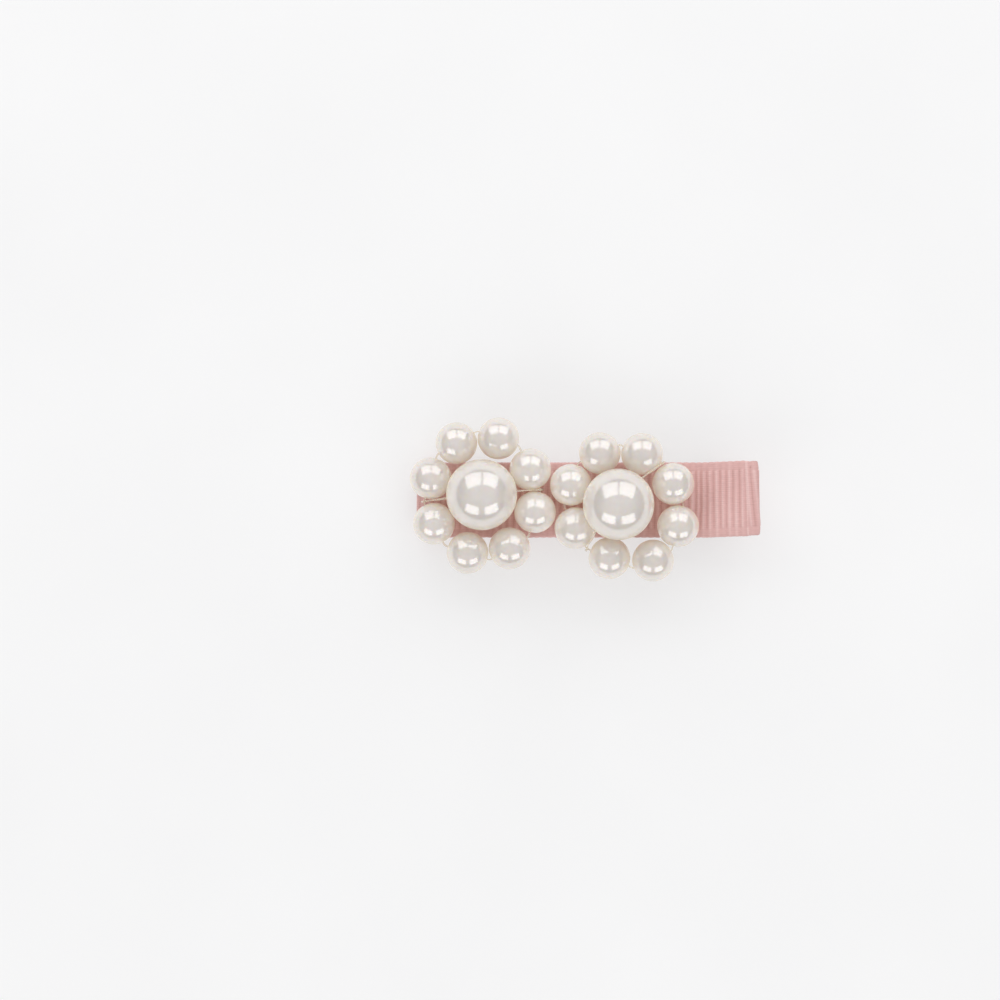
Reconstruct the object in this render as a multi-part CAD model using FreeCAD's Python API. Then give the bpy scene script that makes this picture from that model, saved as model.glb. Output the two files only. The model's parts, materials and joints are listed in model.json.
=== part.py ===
import FreeCAD, Part
import math
import os

from FreeCAD import Placement, Rotation, Vector

# A hair clip: a sprung steel alligator clip, its upper arm wrapped in grosgrain ribbon,
# with two flowers of strung pearls glued along the ribbon.
# Millimetres and degrees. The clip lies on its lower arm: the origin is on the table under the
# middle of the clip, +X runs from the jaw tip to the tail that the fingers press, +Z is up.

# Steel arms and hinge
SHEET = 0.5                # thickness of both pressed arms
PIVOT_X = 12.5
PIVOT_Z = 2.4
JAW_CLOSE_ANGLE = 3.2      # how far the closed upper arm leans down towards the jaw tip

LOWER_TIP_X = -21.8
LOWER_TAIL_X = 22.6
LOWER_WIDTH = 6.7          # jaw and hinge
LOWER_TAIL_WIDTH = 7.5
LOWER_TAIL_START_X = 15.6
LOWER_TAIL_FLARE = 1.0     # length over which the arm widens to the tail
LOWER_TIP_ROUND = 1.0
LOWER_TAIL_ROUND = 2.8
LOWER_EAR_RADIUS = 1.55
LOWER_EAR_BASE = 3.0       # half length of the ear where it leaves the flange
PIN_HOLE_RUNNING = 0.65    # hole radius in the lower ears, where the pin turns
FLANGE_TOP_Z = 1.1
TOOTH_TIP_Z = 1.72
TOOTH_ROOT_Z = 1.05
TOOTH_PITCH = 1.6
TOOTH_COUNT = 8
TEETH_START_X = -20.6

UPPER_WIDTH = 8.0
UPPER_MIDDLE = 2.0         # height of the sheet's middle over the pivot, in the arm's own frame
UPPER_TIP = -34.3          # distances along the upper arm, from over the pivot
UPPER_BEND_START = 2.6
UPPER_BEND_ANGLE = 16.0
UPPER_BEND_RADIUS = 1.75
UPPER_TAIL_LENGTH = 7.6
UPPER_CORNER_ROUND = 1.4
UPPER_EAR_RADIUS = 1.5
UPPER_EAR_BASE = 2.5
EAR_GAP = 0.15             # side play between the lower and the upper ears

PIN_RADIUS = 0.6
PIN_HEAD_RADIUS = 1.1
PIN_HEAD_LENGTH = 0.4
PIN_HEAD_ROUND = 0.2

# Torsion spring, wound round the pin
WIRE_RADIUS = 0.25
COIL_RADIUS = 1.125
COIL_HALF_LENGTH = 1.35
COIL_FULL_TURNS = 4
LEG_REACH = 8.5            # how far each leg's end lies from the pin, along the clip
LEG_GAP = 0.05

# Ribbon
RIBBON = 0.45              # thickness, with its glue
RIBBON_WIDTH = 10.0
JAW_LINING_END = -3.2      # where the ribbon's end stops under the jaw
TAIL_LINING_GAP = 0.35     # from the bend to the ribbon's other end, under the tail

# Flowers. Centres are in plan, angles are from +X in the plane of the ribbon, and nudges are how
# far single petals, counted from the first one past the cross thread, sit off the even ring.
PEARL_RADIUS = 2.8
CENTRE_PEARL_RADIUS = 4.75
PETALS = 8
HOLE_RADIUS = 0.45
CENTRE_HOLE_RADIUS = 0.5
THREAD_RADIUS = 0.175
THREAD_BEND = 0.8
GLUE_LAYER = 0.25
GLUE_DOT_RADIUS = 1.1
CENTRE_GLUE_RADIUS = 2.0
HOOK_OFFSET = 0.42         # from the ring thread's middle to the cross thread that hooks round it
HOOK_BEND = 0.38
HOOK_TAIL = 0.3

FLOWERS = {
    "front": {
        "centre": (-13.65, 0.57),
        "thread_angle": 6.0,
        "along": 7.25,             # half the ring's length along the cross thread
        "across": 7.95,            # half its width across that thread
        "centre_shift": (-0.04, 0.14),
        "centre_rise": 2.3,        # of the large pearl's middle over the ring's plane
        "nudges": {
            1: (0.0, -0.2), 2: (0.09, 0.05), 5: (-0.2, 0.0),
            6: (-0.04, -0.03), 7: (0.05, 0.0), 8: (0.0, 0.15),
        },
    },
    "rear": {
        "centre": (5.37, -0.76),
        "thread_angle": 48.5,
        "along": 7.2,
        "across": 7.9,
        "centre_shift": (-0.81, 0.18),
        "centre_rise": 3.63,
        "nudges": {
            1: (0.05, -0.1), 2: (0.2, 0.1), 6: (0.0, -0.4),
            7: (-0.3, 0.06), 8: (-0.33, -0.07),
        },
    },
}

HALF_SHEET = SHEET / 2
RIBBON_TOP = UPPER_MIDDLE + HALF_SHEET + RIBBON
RING_HEIGHT = RIBBON_TOP + GLUE_LAYER + PEARL_RADIUS
BEND_LENGTH = UPPER_BEND_RADIUS * math.radians(UPPER_BEND_ANGLE)
UPPER_TAIL_START = UPPER_BEND_START + BEND_LENGTH
UPPER_TAIL_END = UPPER_TAIL_START + UPPER_TAIL_LENGTH
LOWER_EAR_OUTSIDE = LOWER_WIDTH / 2
UPPER_EAR_INSIDE = LOWER_EAR_OUTSIDE + EAR_GAP
UPPER_EAR_OUTSIDE = UPPER_EAR_INSIDE + SHEET
UPPER_PLACE = Placement(Vector(PIVOT_X, 0, PIVOT_Z), Rotation(Vector(0, 1, 0), -JAW_CLOSE_ANGLE))
ACROSS = Vector(0, 1, 0)
UP = Vector(0, 0, 1)


def line(start, end):
    return Part.LineSegment(start, end).toShape()


def arc(start, middle, end):
    return Part.Arc(start, middle, end).toShape()


def slab(edges, y_low, y_high):
    """A plate with the outline of the edges, which lie in the XZ plane, from y_low to y_high."""
    face = Part.Face(Part.Wire(edges))
    face.translate(Vector(0, y_low, 0))
    return face.extrude(Vector(0, y_high - y_low, 0))


def polygon_edges(points):
    return [line(points[i - 1], points[i]) for i in range(len(points))]


def cylinder_across(radius, y_low, y_high, x=0.0, z=0.0):
    return Part.makeCylinder(radius, y_high - y_low, Vector(x, y_low, z), ACROSS)


def rounded_path(points, radius, closed=False):
    """Straight runs between the points, joined by tangent arcs of the radius."""
    count = len(points)
    corners = range(count) if closed else range(1, count - 1)
    cuts = {}
    for i in corners:
        back = (points[i - 1] - points[i]).normalize()
        ahead = (points[(i + 1) % count] - points[i]).normalize()
        half_turn = (math.pi - back.getAngle(ahead)) / 2
        reach = radius * math.tan(half_turn)
        inward = (back + ahead).normalize()
        middle = points[i] + inward * (radius / math.cos(half_turn) - radius)
        cuts[i] = (points[i] + back * reach, middle, points[i] + ahead * reach)
    edges = []
    for i in range(count if closed else count - 1):
        following = (i + 1) % count
        start = cuts[i][2] if i in cuts else points[i]
        end = cuts[following][0] if following in cuts else points[following]
        edges.append(line(start, end))
        if following in cuts:
            edges.append(arc(*cuts[following]))
    return edges


def wire_solid(edges, radius):
    """A round wire or thread that follows the edges."""
    path = Part.Wire(edges)
    start = edges[0].valueAt(edges[0].FirstParameter)
    direction = edges[0].tangentAt(edges[0].FirstParameter)
    section = Part.Wire(Part.makeCircle(radius, start, direction))
    return path.makePipeShell([section], True, True)


# Lower arm


def tooth_profile():
    """The saw edge of the lower jaw, from its tip to where the plain flange starts."""
    points = [Vector(TEETH_START_X, 0, TOOTH_ROOT_Z)]
    for tooth in range(TOOTH_COUNT):
        root_x = TEETH_START_X + tooth * TOOTH_PITCH
        points.append(Vector(root_x + TOOTH_PITCH / 2, 0, TOOTH_TIP_Z))
        points.append(Vector(root_x + TOOTH_PITCH, 0, TOOTH_ROOT_Z))
    return points


def lower_side(y_low, y_high):
    """One bent-up side of the lower arm: teeth, plain flange and the ear that holds the pin."""
    teeth = tooth_profile()
    flange_end = Vector(PIVOT_X + LOWER_EAR_BASE, 0, FLANGE_TOP_Z)
    outline = [Vector(TEETH_START_X, 0, HALF_SHEET)]
    outline += teeth
    outline.append(Vector(teeth[-1].x, 0, FLANGE_TOP_Z))
    outline.append(flange_end)
    outline.append(Vector(flange_end.x, 0, HALF_SHEET))
    flange = slab(polygon_edges(outline), y_low, y_high)
    ear_foot = [
        Vector(PIVOT_X - LOWER_EAR_BASE, 0, FLANGE_TOP_Z - HALF_SHEET),
        Vector(PIVOT_X + LOWER_EAR_BASE, 0, FLANGE_TOP_Z - HALF_SHEET),
        Vector(PIVOT_X + LOWER_EAR_RADIUS, 0, PIVOT_Z),
        Vector(PIVOT_X - LOWER_EAR_RADIUS, 0, PIVOT_Z),
    ]
    ear = slab(polygon_edges(ear_foot), y_low, y_high)
    ear_top = cylinder_across(LOWER_EAR_RADIUS, y_low, y_high, PIVOT_X, PIVOT_Z)
    return flange.fuse([ear, ear_top])


def lower_plate():
    jaw_half = LOWER_WIDTH / 2
    tail_half = LOWER_TAIL_WIDTH / 2
    outline = [
        Vector(LOWER_TIP_X, -jaw_half, 0),
        Vector(LOWER_TAIL_START_X, -jaw_half, 0),
        Vector(LOWER_TAIL_START_X + LOWER_TAIL_FLARE, -tail_half, 0),
        Vector(LOWER_TAIL_X, -tail_half, 0),
        Vector(LOWER_TAIL_X, tail_half, 0),
        Vector(LOWER_TAIL_START_X + LOWER_TAIL_FLARE, tail_half, 0),
        Vector(LOWER_TAIL_START_X, jaw_half, 0),
        Vector(LOWER_TIP_X, jaw_half, 0),
    ]
    plate = Part.Face(Part.Wire(polygon_edges(outline))).extrude(UP * SHEET)
    tip_corners = [e for e in plate.Edges if is_corner(e, LOWER_TIP_X)]
    plate = plate.makeFillet(LOWER_TIP_ROUND, tip_corners)
    tail_corners = [e for e in plate.Edges if is_corner(e, LOWER_TAIL_X)]
    return plate.makeFillet(LOWER_TAIL_ROUND, tail_corners)


def is_corner(edge, x):
    """True for an edge that stands upright at the given x."""
    box = edge.BoundBox
    tolerance = 1e-4
    return box.XLength < tolerance and box.YLength < tolerance and abs(box.XMin - x) < tolerance


def lower_arm():
    inside = LOWER_EAR_OUTSIDE - SHEET
    arm = lower_plate().fuse([
        lower_side(inside, LOWER_EAR_OUTSIDE),
        lower_side(-LOWER_EAR_OUTSIDE, -inside),
    ])
    hole = cylinder_across(PIN_HOLE_RUNNING, -LOWER_WIDTH, LOWER_WIDTH, PIVOT_X, PIVOT_Z)
    return arm.cut(hole).removeSplitter()


# Upper arm and ribbon, in the arm's own frame: origin at the pivot, X along the flat jaw


def arm_point(distance, height):
    """A point over the middle of the bent sheet, at a distance along it from over the pivot."""
    if distance <= UPPER_BEND_START:
        return Vector(distance, 0, UPPER_MIDDLE + height)
    turned = min(distance, UPPER_TAIL_START) - UPPER_BEND_START
    angle = turned / UPPER_BEND_RADIUS
    centre = Vector(UPPER_BEND_START, 0, UPPER_MIDDLE + UPPER_BEND_RADIUS)
    normal = Vector(-math.sin(angle), 0, math.cos(angle))
    along = Vector(math.cos(angle), 0, math.sin(angle))
    straight = max(0.0, distance - UPPER_TAIL_START)
    return centre - normal * (UPPER_BEND_RADIUS - height) + along * straight


def arm_edges(start, end, height):
    """The edges along the arm at one height, from one distance to the other."""
    stops = [start]
    if start < UPPER_BEND_START < end:
        stops += [UPPER_BEND_START, UPPER_TAIL_START]
    stops.append(end)
    edges = []
    for here, there in zip(stops, stops[1:]):
        first = arm_point(here, height)
        last = arm_point(there, height)
        if here == UPPER_BEND_START:
            edges.append(arc(first, arm_point((here + there) / 2, height), last))
        else:
            edges.append(line(first, last))
    return edges


def arm_band(start, end, low, high, width):
    """A layer of the arm between two heights over the sheet's middle."""
    edges = arm_edges(start, end, low)
    edges.append(line(arm_point(end, low), arm_point(end, high)))
    edges += reversed(arm_edges(start, end, high))
    edges.append(line(arm_point(start, high), arm_point(start, low)))
    return slab(edges, -width / 2, width / 2)


def upper_ear(y_low, y_high):
    foot = [
        Vector(-UPPER_EAR_BASE, 0, UPPER_MIDDLE),
        Vector(UPPER_EAR_BASE, 0, UPPER_MIDDLE),
        Vector(UPPER_EAR_RADIUS, 0, 0),
        Vector(-UPPER_EAR_RADIUS, 0, 0),
    ]
    ear = slab(polygon_edges(foot), y_low, y_high)
    return ear.fuse(cylinder_across(UPPER_EAR_RADIUS, y_low, y_high))


def upper_arm():
    sheet = arm_band(UPPER_TIP, UPPER_TAIL_END, -HALF_SHEET, HALF_SHEET, UPPER_WIDTH)
    end_edges = [e for e in sheet.Edges if abs(e.Length - SHEET) < 1e-6]
    sheet = sheet.makeFillet(UPPER_CORNER_ROUND, end_edges)
    arm = sheet.fuse([
        upper_ear(UPPER_EAR_INSIDE, UPPER_EAR_OUTSIDE),
        upper_ear(-UPPER_EAR_OUTSIDE, -UPPER_EAR_INSIDE),
    ])
    hole = cylinder_across(PIN_RADIUS, -UPPER_WIDTH, UPPER_WIDTH)
    return arm.cut(hole).removeSplitter()


def pivot_pin():
    """A rivet: its shaft is tight in the upper ears and its heads lie against them."""
    head_end = UPPER_EAR_OUTSIDE + PIN_HEAD_LENGTH
    pin = cylinder_across(PIN_RADIUS, -head_end, head_end)
    for y_low in (UPPER_EAR_OUTSIDE, -head_end):
        head = cylinder_across(PIN_HEAD_RADIUS, y_low, y_low + PIN_HEAD_LENGTH)
        outer_y = head_end if y_low > 0 else -head_end
        rim = [e for e in head.Edges if e.BoundBox.YLength < 1e-6 and abs(e.BoundBox.YMin - outer_y) < 1e-6]
        pin = pin.fuse(head.makeFillet(PIN_HEAD_ROUND, rim))
    return pin.removeSplitter()


def ribbon_wrap(distance, outward):
    """The ribbon's turn round one end of the sheet."""
    centre = arm_point(distance, 0)
    up = arm_point(distance, 1) - centre
    inner = HALF_SHEET
    outer = HALF_SHEET + RIBBON
    edges = [
        arc(centre + up * outer, centre + outward * outer, centre - up * outer),
        line(centre - up * outer, centre - up * inner),
        arc(centre - up * inner, centre + outward * inner, centre + up * inner),
        line(centre + up * inner, centre + up * outer),
    ]
    return slab(edges, -RIBBON_WIDTH / 2, RIBBON_WIDTH / 2)


def ribbon_cover():
    """One strip: under the jaw, round its tip, along the top, round the tail and back under it."""
    inner = HALF_SHEET
    outer = HALF_SHEET + RIBBON
    tail_angle = math.radians(UPPER_BEND_ANGLE)
    tail_direction = Vector(math.cos(tail_angle), 0, math.sin(tail_angle))
    top = arm_band(UPPER_TIP, UPPER_TAIL_END, inner, outer, RIBBON_WIDTH)
    jaw_lining = arm_band(UPPER_TIP, JAW_LINING_END, -outer, -inner, RIBBON_WIDTH)
    tail_lining_start = UPPER_TAIL_START + TAIL_LINING_GAP
    tail_lining = arm_band(tail_lining_start, UPPER_TAIL_END, -outer, -inner, RIBBON_WIDTH)
    tip_wrap = ribbon_wrap(UPPER_TIP, Vector(-1, 0, 0))
    tail_wrap = ribbon_wrap(UPPER_TAIL_END, tail_direction)
    return top.fuse([jaw_lining, tail_lining, tip_wrap, tail_wrap]).removeSplitter()


# Torsion spring


def leg_angle(end_height, side):
    """The slope of a leg that leaves the coil on the far side and ends at end_height over the pin."""
    reach = math.hypot(LEG_REACH, end_height)
    slope = math.atan2(end_height, LEG_REACH)
    return slope + side * math.asin((COIL_RADIUS - WIRE_RADIUS) / reach)


def torsion_spring():
    """A coil round the pin whose two legs cross, and push the two tails apart."""
    tail_under = arm_point(UPPER_TAIL_END, -HALF_SHEET - RIBBON)
    tail_slope = math.radians(UPPER_BEND_ANGLE)
    under_at_reach = tail_under.z + (LEG_REACH - tail_under.x) * math.tan(tail_slope)
    closed_lean = math.radians(JAW_CLOSE_ANGLE)
    upper_angle = leg_angle(under_at_reach - LEG_GAP, 1) + closed_lean
    lower_angle = leg_angle(SHEET + LEG_GAP - PIVOT_Z, -1)
    start_angle = math.pi / 2 + lower_angle
    end_angle = upper_angle - math.pi / 2 + 2 * math.pi
    turns = COIL_FULL_TURNS + (end_angle - start_angle) / (2 * math.pi)
    pitch = 2 * COIL_HALF_LENGTH / turns
    coil = Part.makeHelix(pitch, 2 * COIL_HALF_LENGTH, COIL_RADIUS)
    coil.rotate(Vector(0, 0, 0), UP, math.degrees(start_angle))
    coil.rotate(Vector(0, 0, 0), Vector(1, 0, 0), 90)
    coil.translate(Vector(PIVOT_X, COIL_HALF_LENGTH, PIVOT_Z))
    winding = coil.Edges[0]
    first = winding.FirstParameter
    last = winding.LastParameter
    lower_way = winding.tangentAt(first) * -1
    upper_way = winding.tangentAt(last)
    leg_length = math.sqrt(LEG_REACH ** 2 - COIL_RADIUS ** 2)
    lower_leg = line(winding.valueAt(first) + lower_way * leg_length, winding.valueAt(first))
    upper_leg = line(winding.valueAt(last), winding.valueAt(last) + upper_way * leg_length)
    return wire_solid([lower_leg, winding, upper_leg], WIRE_RADIUS)


# Flowers, in the upper arm's frame


def flower_centre(flower):
    """The ring's centre in the arm's frame, from its place in plan."""
    plan_x, plan_y = flower["centre"]
    lean = math.radians(JAW_CLOSE_ANGLE)
    arm_x = (plan_x - PIVOT_X + RING_HEIGHT * math.sin(lean)) / math.cos(lean)
    return Vector(arm_x, plan_y, RING_HEIGHT)


def thread_direction(flower):
    angle = math.radians(flower["thread_angle"])
    return Vector(math.cos(angle), math.sin(angle), 0)


def petal_centres(flower):
    """Eight places about an ellipse, four each side of the cross thread."""
    along = thread_direction(flower)
    across = UP.cross(along)
    centre = flower_centre(flower)
    places = []
    for petal in range(PETALS):
        angle = 2 * math.pi * (petal + 0.5) / PETALS
        shift = along * (flower["along"] * math.cos(angle))
        shift += across * (flower["across"] * math.sin(angle))
        nudge_x, nudge_y = flower["nudges"].get(petal + 1, (0.0, 0.0))
        places.append(centre + shift + Vector(nudge_x, nudge_y, 0))
    return places


def petal_directions(places):
    """The ring thread's way through each pearl: from the pearl before it to the one after it."""
    count = len(places)
    return [(places[(i + 1) % count] - places[i - 1]).normalize() for i in range(count)]


def pearl(centre, radius, hole_direction, hole_radius):
    hole_start = centre - hole_direction * (2 * radius)
    hole = Part.makeCylinder(hole_radius, 4 * radius, hole_start, hole_direction)
    return Part.makeSphere(radius, centre).cut(hole)


def ring_corners(places):
    """Where the straight runs of the ring thread through neighbouring pearls would meet."""
    ways = petal_directions(places)
    corners = []
    for i, place in enumerate(places):
        after = (i + 1) % len(places)
        between = places[after] - place
        turn = ways[i].cross(ways[after]).z
        reach = between.cross(ways[after]).z / turn
        corners.append(place + ways[i] * reach)
    return corners


def ring_thread(places):
    return wire_solid(rounded_path(ring_corners(places), THREAD_BEND, closed=True), THREAD_RADIUS)


def centre_place(flower):
    shift_x, shift_y = flower["centre_shift"]
    return flower_centre(flower) + Vector(shift_x, shift_y, flower["centre_rise"])


def hook_points(places, before):
    """The cross thread's end, in the gap after a petal: down outside the ring thread and under it."""
    after = (before + 1) % PETALS
    between = (places[before] + places[after]) * 0.5
    outward = (places[after] - places[before]).cross(UP).normalize()
    sagitta = THREAD_BEND * (1 / math.cos(math.pi / PETALS) - 1)
    reach = (ring_corners(places)[before] - between).dot(outward) - sagitta
    ring = between + outward * reach
    above = UP * HOOK_OFFSET
    beyond = outward * HOOK_OFFSET
    return [ring + above + beyond, ring - above + beyond, ring - above - outward * HOOK_TAIL]


def cross_thread(flower, places):
    """Through the large pearl, down between the petals, and hooked round the ring at each end."""
    middle = centre_place(flower)
    mouth = thread_direction(flower) * CENTRE_PEARL_RADIUS
    points = list(reversed(hook_points(places, PETALS // 2 - 1)))
    points += [middle - mouth, middle + mouth]
    points += hook_points(places, PETALS - 1)
    return wire_solid(rounded_path(points, HOOK_BEND), THREAD_RADIUS)


def glue_dot(centre, pearl_radius, dot_radius):
    """Glue between the ribbon and the pearl that sits in it."""
    foot = Vector(centre.x, centre.y, RIBBON_TOP)
    pearl_bottom = centre.z - pearl_radius
    rise = pearl_radius - math.sqrt(pearl_radius ** 2 - dot_radius ** 2)
    height = pearl_bottom + rise - RIBBON_TOP
    return Part.makeCylinder(dot_radius, height, foot).cut(Part.makeSphere(pearl_radius, centre))


def glue(flower, places):
    """Separate dots under the large pearl and under each petal that lies over the ribbon."""
    dots = [glue_dot(centre_place(flower), CENTRE_PEARL_RADIUS, CENTRE_GLUE_RADIUS)]
    for place in places:
        if abs(place.y) < RIBBON_WIDTH / 2 - GLUE_DOT_RADIUS:
            dots.append(glue_dot(place, PEARL_RADIUS, GLUE_DOT_RADIUS))
    return Part.makeCompound(dots)


def flower_nodes(name, flower):
    places = petal_centres(flower)
    nodes = {}
    for number, (place, way) in enumerate(zip(places, petal_directions(places)), start=1):
        nodes[f"{name}_petal_{number}"] = pearl(place, PEARL_RADIUS, way, HOLE_RADIUS)
    nodes[f"{name}_centre_pearl"] = pearl(
        centre_place(flower), CENTRE_PEARL_RADIUS, thread_direction(flower), CENTRE_HOLE_RADIUS)
    nodes[f"{name}_ring_thread"] = ring_thread(places)
    nodes[f"{name}_cross_thread"] = cross_thread(flower, places)
    nodes[f"{name}_glue"] = glue(flower, places)
    return nodes


def upper_nodes():
    nodes = {
        "upper_arm": upper_arm(),
        "pivot_pin": pivot_pin(),
        "ribbon_cover": ribbon_cover(),
    }
    for name, flower in FLOWERS.items():
        nodes.update(flower_nodes(name, flower))
    for shape in nodes.values():
        shape.Placement = UPPER_PLACE.multiply(shape.Placement)
    return nodes


def main():
    os.makedirs("parts", exist_ok=True)
    nodes = {"lower_arm": lower_arm(), "torsion_spring": torsion_spring()}
    nodes.update(upper_nodes())
    for name, shape in nodes.items():
        if not shape.isValid():
            print(f"{name} is not a valid solid")
        shape.exportStep(f"parts/{name}.step")
    box = Part.makeCompound(list(nodes.values())).optimalBoundingBox(True, False)
    print(f"{len(nodes)} nodes, x {box.XMin:.3f} {box.XMax:.3f}, "
          f"y {box.YMin:.3f} {box.YMax:.3f}, z {box.ZMin:.3f} {box.ZMax:.3f}")


main()
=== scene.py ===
from collections import namedtuple
import json
import math

import bpy
from mathutils import Matrix, Vector, noise


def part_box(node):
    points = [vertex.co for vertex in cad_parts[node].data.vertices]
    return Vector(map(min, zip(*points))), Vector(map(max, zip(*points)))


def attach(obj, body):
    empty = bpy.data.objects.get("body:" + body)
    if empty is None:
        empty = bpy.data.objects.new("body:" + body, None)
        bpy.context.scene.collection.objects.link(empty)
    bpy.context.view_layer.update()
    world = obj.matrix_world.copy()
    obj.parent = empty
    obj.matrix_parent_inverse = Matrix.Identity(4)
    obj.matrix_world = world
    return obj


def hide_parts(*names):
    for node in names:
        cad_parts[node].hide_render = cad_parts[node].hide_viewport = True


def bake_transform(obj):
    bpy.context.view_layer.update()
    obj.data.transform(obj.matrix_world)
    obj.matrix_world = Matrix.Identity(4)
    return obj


# A flower hair clip: pearls strung in two flowers on a ribbon-covered alligator clip.
# Shapes are worked out in millimetres and scaled once, where a mesh is made.

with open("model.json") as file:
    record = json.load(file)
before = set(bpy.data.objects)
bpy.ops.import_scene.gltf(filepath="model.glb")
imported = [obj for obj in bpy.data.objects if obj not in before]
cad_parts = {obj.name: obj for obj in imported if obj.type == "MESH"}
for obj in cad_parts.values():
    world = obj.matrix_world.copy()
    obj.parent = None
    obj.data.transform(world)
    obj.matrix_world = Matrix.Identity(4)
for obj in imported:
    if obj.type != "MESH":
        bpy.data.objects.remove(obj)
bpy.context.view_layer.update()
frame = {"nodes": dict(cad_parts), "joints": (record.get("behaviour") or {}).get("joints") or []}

MM = 0.001
UP = Vector((0, 0, 1))
ALONG = Vector((1, 0, 0))

# The upper arm's own frame, as in the CAD source: origin at the pivot, X along the flat jaw
JAW_CLOSE_ANGLE = 3.2
SHEET = 0.5
UPPER_MIDDLE = 2.0
UPPER_TIP = -34.3
UPPER_BEND_START = 2.6
UPPER_BEND_ANGLE = 16.0
UPPER_BEND_RADIUS = 1.75
UPPER_TAIL_LENGTH = 7.6
JAW_LINING_END = -3.2
TAIL_LINING_GAP = 0.35

HALF_SHEET = SHEET / 2
UPPER_TAIL_START = UPPER_BEND_START + UPPER_BEND_RADIUS * math.radians(UPPER_BEND_ANGLE)
UPPER_TAIL_END = UPPER_TAIL_START + UPPER_TAIL_LENGTH

HINGE = frame["joints"][0]
PIVOT = Vector(HINGE["pos_m"]) / MM
TO_ROW = Matrix.Translation(PIVOT) @ Matrix.Rotation(-math.radians(JAW_CLOSE_ANGLE), 4, "Y")
TO_ARM = TO_ROW.inverted()

# Ribbon
RIBBON = 0.45
RIBBON_WIDTH = 10.0
RIB_PITCH = 0.9
RIB_HEIGHT = 0.11
RIB_LEAN = 1.2             # of the ribs to the strip, in degrees
CREASE_LEAN = -4.5         # added to that past the crease
TAIL_SKEW = 1.9            # the ribbon lies a little askew on the tail, in degrees
SKEW_RUN = 3.0             # along the arm from the bend, in which it comes to lie so
ROLL_START = 0.95          # from where the ribbon leaves the flat to the steel's end
FACE = HALF_SHEET + RIBBON - RIB_HEIGHT    # from the middle of the steel to between the ribs
BACK_CLEARANCE = 0.02
SAMPLES_PER_RIB = 9
STATION_STEP = RIB_PITCH / SAMPLES_PER_RIB
FOLD_LENGTH = math.pi * (HALF_SHEET + RIBBON / 2)

# The ribbon's edges. The selvedge is the smooth band along each edge, where the ribs fade out.
EDGE_COLUMNS = (0.0, 0.06, 0.14, 0.26, 0.42, 0.6, 0.8, 0.98, 1.1, 1.2, 1.32)
MIDDLE_STEPS = 16
SELVEDGE = 1.15
SELVEDGE_BLEND = 0.12
SELVEDGE_RELIEF = 0.35     # share of the ribs' height that is left in it
SELVEDGE_CONTRAST = 0.45   # share of the ribs' painted light and shade that is left in it
# How light the flat selvedge is painted, where the ribs' painted light and shade fade out
SELVEDGE_SHADE = 0.35
GROOVE_WIDTH = 0.09
GROOVE_DEPTH = 0.05
EDGE_ROUND = 0.2
EDGE_THINNING = 0.8        # share of the thickness that the rounded edge loses
EDGE_SCALLOP = 0.05
SCALLOP_REACH = 0.5
DROOP_START = 4.0          # from the middle of the strip
EDGE_DROOP = 0.12
DROOP_POWER = 1.5

# The crease before the tail's fold, with a painted highlight, and a needle hole in the fold, with
# painted shade
TAIL_CREASE = UPPER_TAIL_END - ROLL_START
CREASE_BLEND = 0.4
CREASE_WIDTH = 0.16
CREASE_RISE = 0.07
# How much the crease's painted highlight lightens the yarn
CREASE_HIGHLIGHT = 0.8
CREASE_NARROWING = 0.02    # share of the width, past the crease
NEEDLE_HOLE = (UPPER_TAIL_END - 0.35, 4.15)
NEEDLE_HOLE_WIDTH = 0.13
NEEDLE_HOLE_DEPTH = 0.12

# How uneven the weave is: the most that it strays, the length and width of the patches in which
# it does, and the layer of noise that it follows
RIB_SPACING = (0.16, 2.5, 1.0, 0.0)
RIB_WAVER = (0.05, 4.0, 3.0, 9.0)
RIB_SHADE = (0.3, 1.0, 7.0, 4.0)
RIPPLE = (0.03, 3.5, 2.5, 5.0)
EDGE_WAVER = (0.04, 5.0, 1.0, 1.0)
SPACING_LINE = 3.1         # the place across the strip where the ribs' spacing is read
SHADE_STEP = 0.73          # how far the noise moves on from one rib to the next
BACK_LAYER = 20.0          # sets the strip's back apart from its face in the material's noise
BACK_SHADE = 0.5

# Pearls
HOLE_RADIUS = 0.45
CENTRE_HOLE_RADIUS = 0.5
HOLE_RIM = 0.14
HOLE_RIM_STEPS = 5
PETALS = 8
PETAL_STEPS = (64, 44)     # round the hole, and from one end of it to the other
CENTRE_STEPS = (96, 72)
LUMP_HEIGHT = 0.004        # of the lacquer, as a share of the radius
LUMP_COUNT = 1.3           # lumps to the radius
GRAIN_HEIGHT = 0.0006      # as a share of the radius
GRAIN_SIZE = 0.5
SEEDS_PER_FLOWER = 20

# Line: each flower's cross line lies at an angle to the arm, and hooks round the ring line
THREAD_ANGLES = {"front": 6.0, "rear": 48.5}
THREAD_BEND = 0.8
THREAD_STEP = 0.18
HOOK_OFFSET = 0.31         # from the middle of the ring line
HOOK_BEND = 0.28
HOOK_TAIL = 0.15           # how far the hook's end reaches in past the ring line
HOOK_STEP = 0.15
LEAST_ARC_STEPS = 4
STRAND_RADIUS = 0.07
STRAND_PITCH = 9.0
STRAND_SIDES = 12

# Glue: radius of its foot on the ribbon, and of its contact with the pearl
CENTRE_GLUE = (2.7, 1.9)
PETAL_GLUE = (1.45, 1.15)
GLUE_CORE = 0.02           # left open round the axis, so that the outline closes
GLUE_MARGIN = 1.1          # petals whose middles are this far inside the ribbon's edge have glue
GLUE_FLARE = 2.4           # the higher, the sooner the foot narrows to the contact
GLUE_SPREAD = 0.2          # how uneven the foot is, as a share of its radius
GLUE_CLING = 0.12          # how uneven the contact is
GLUE_AROUND = 36
GLUE_SIDE_STEPS = 8
GLUE_TOP_STEPS = 5

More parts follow.
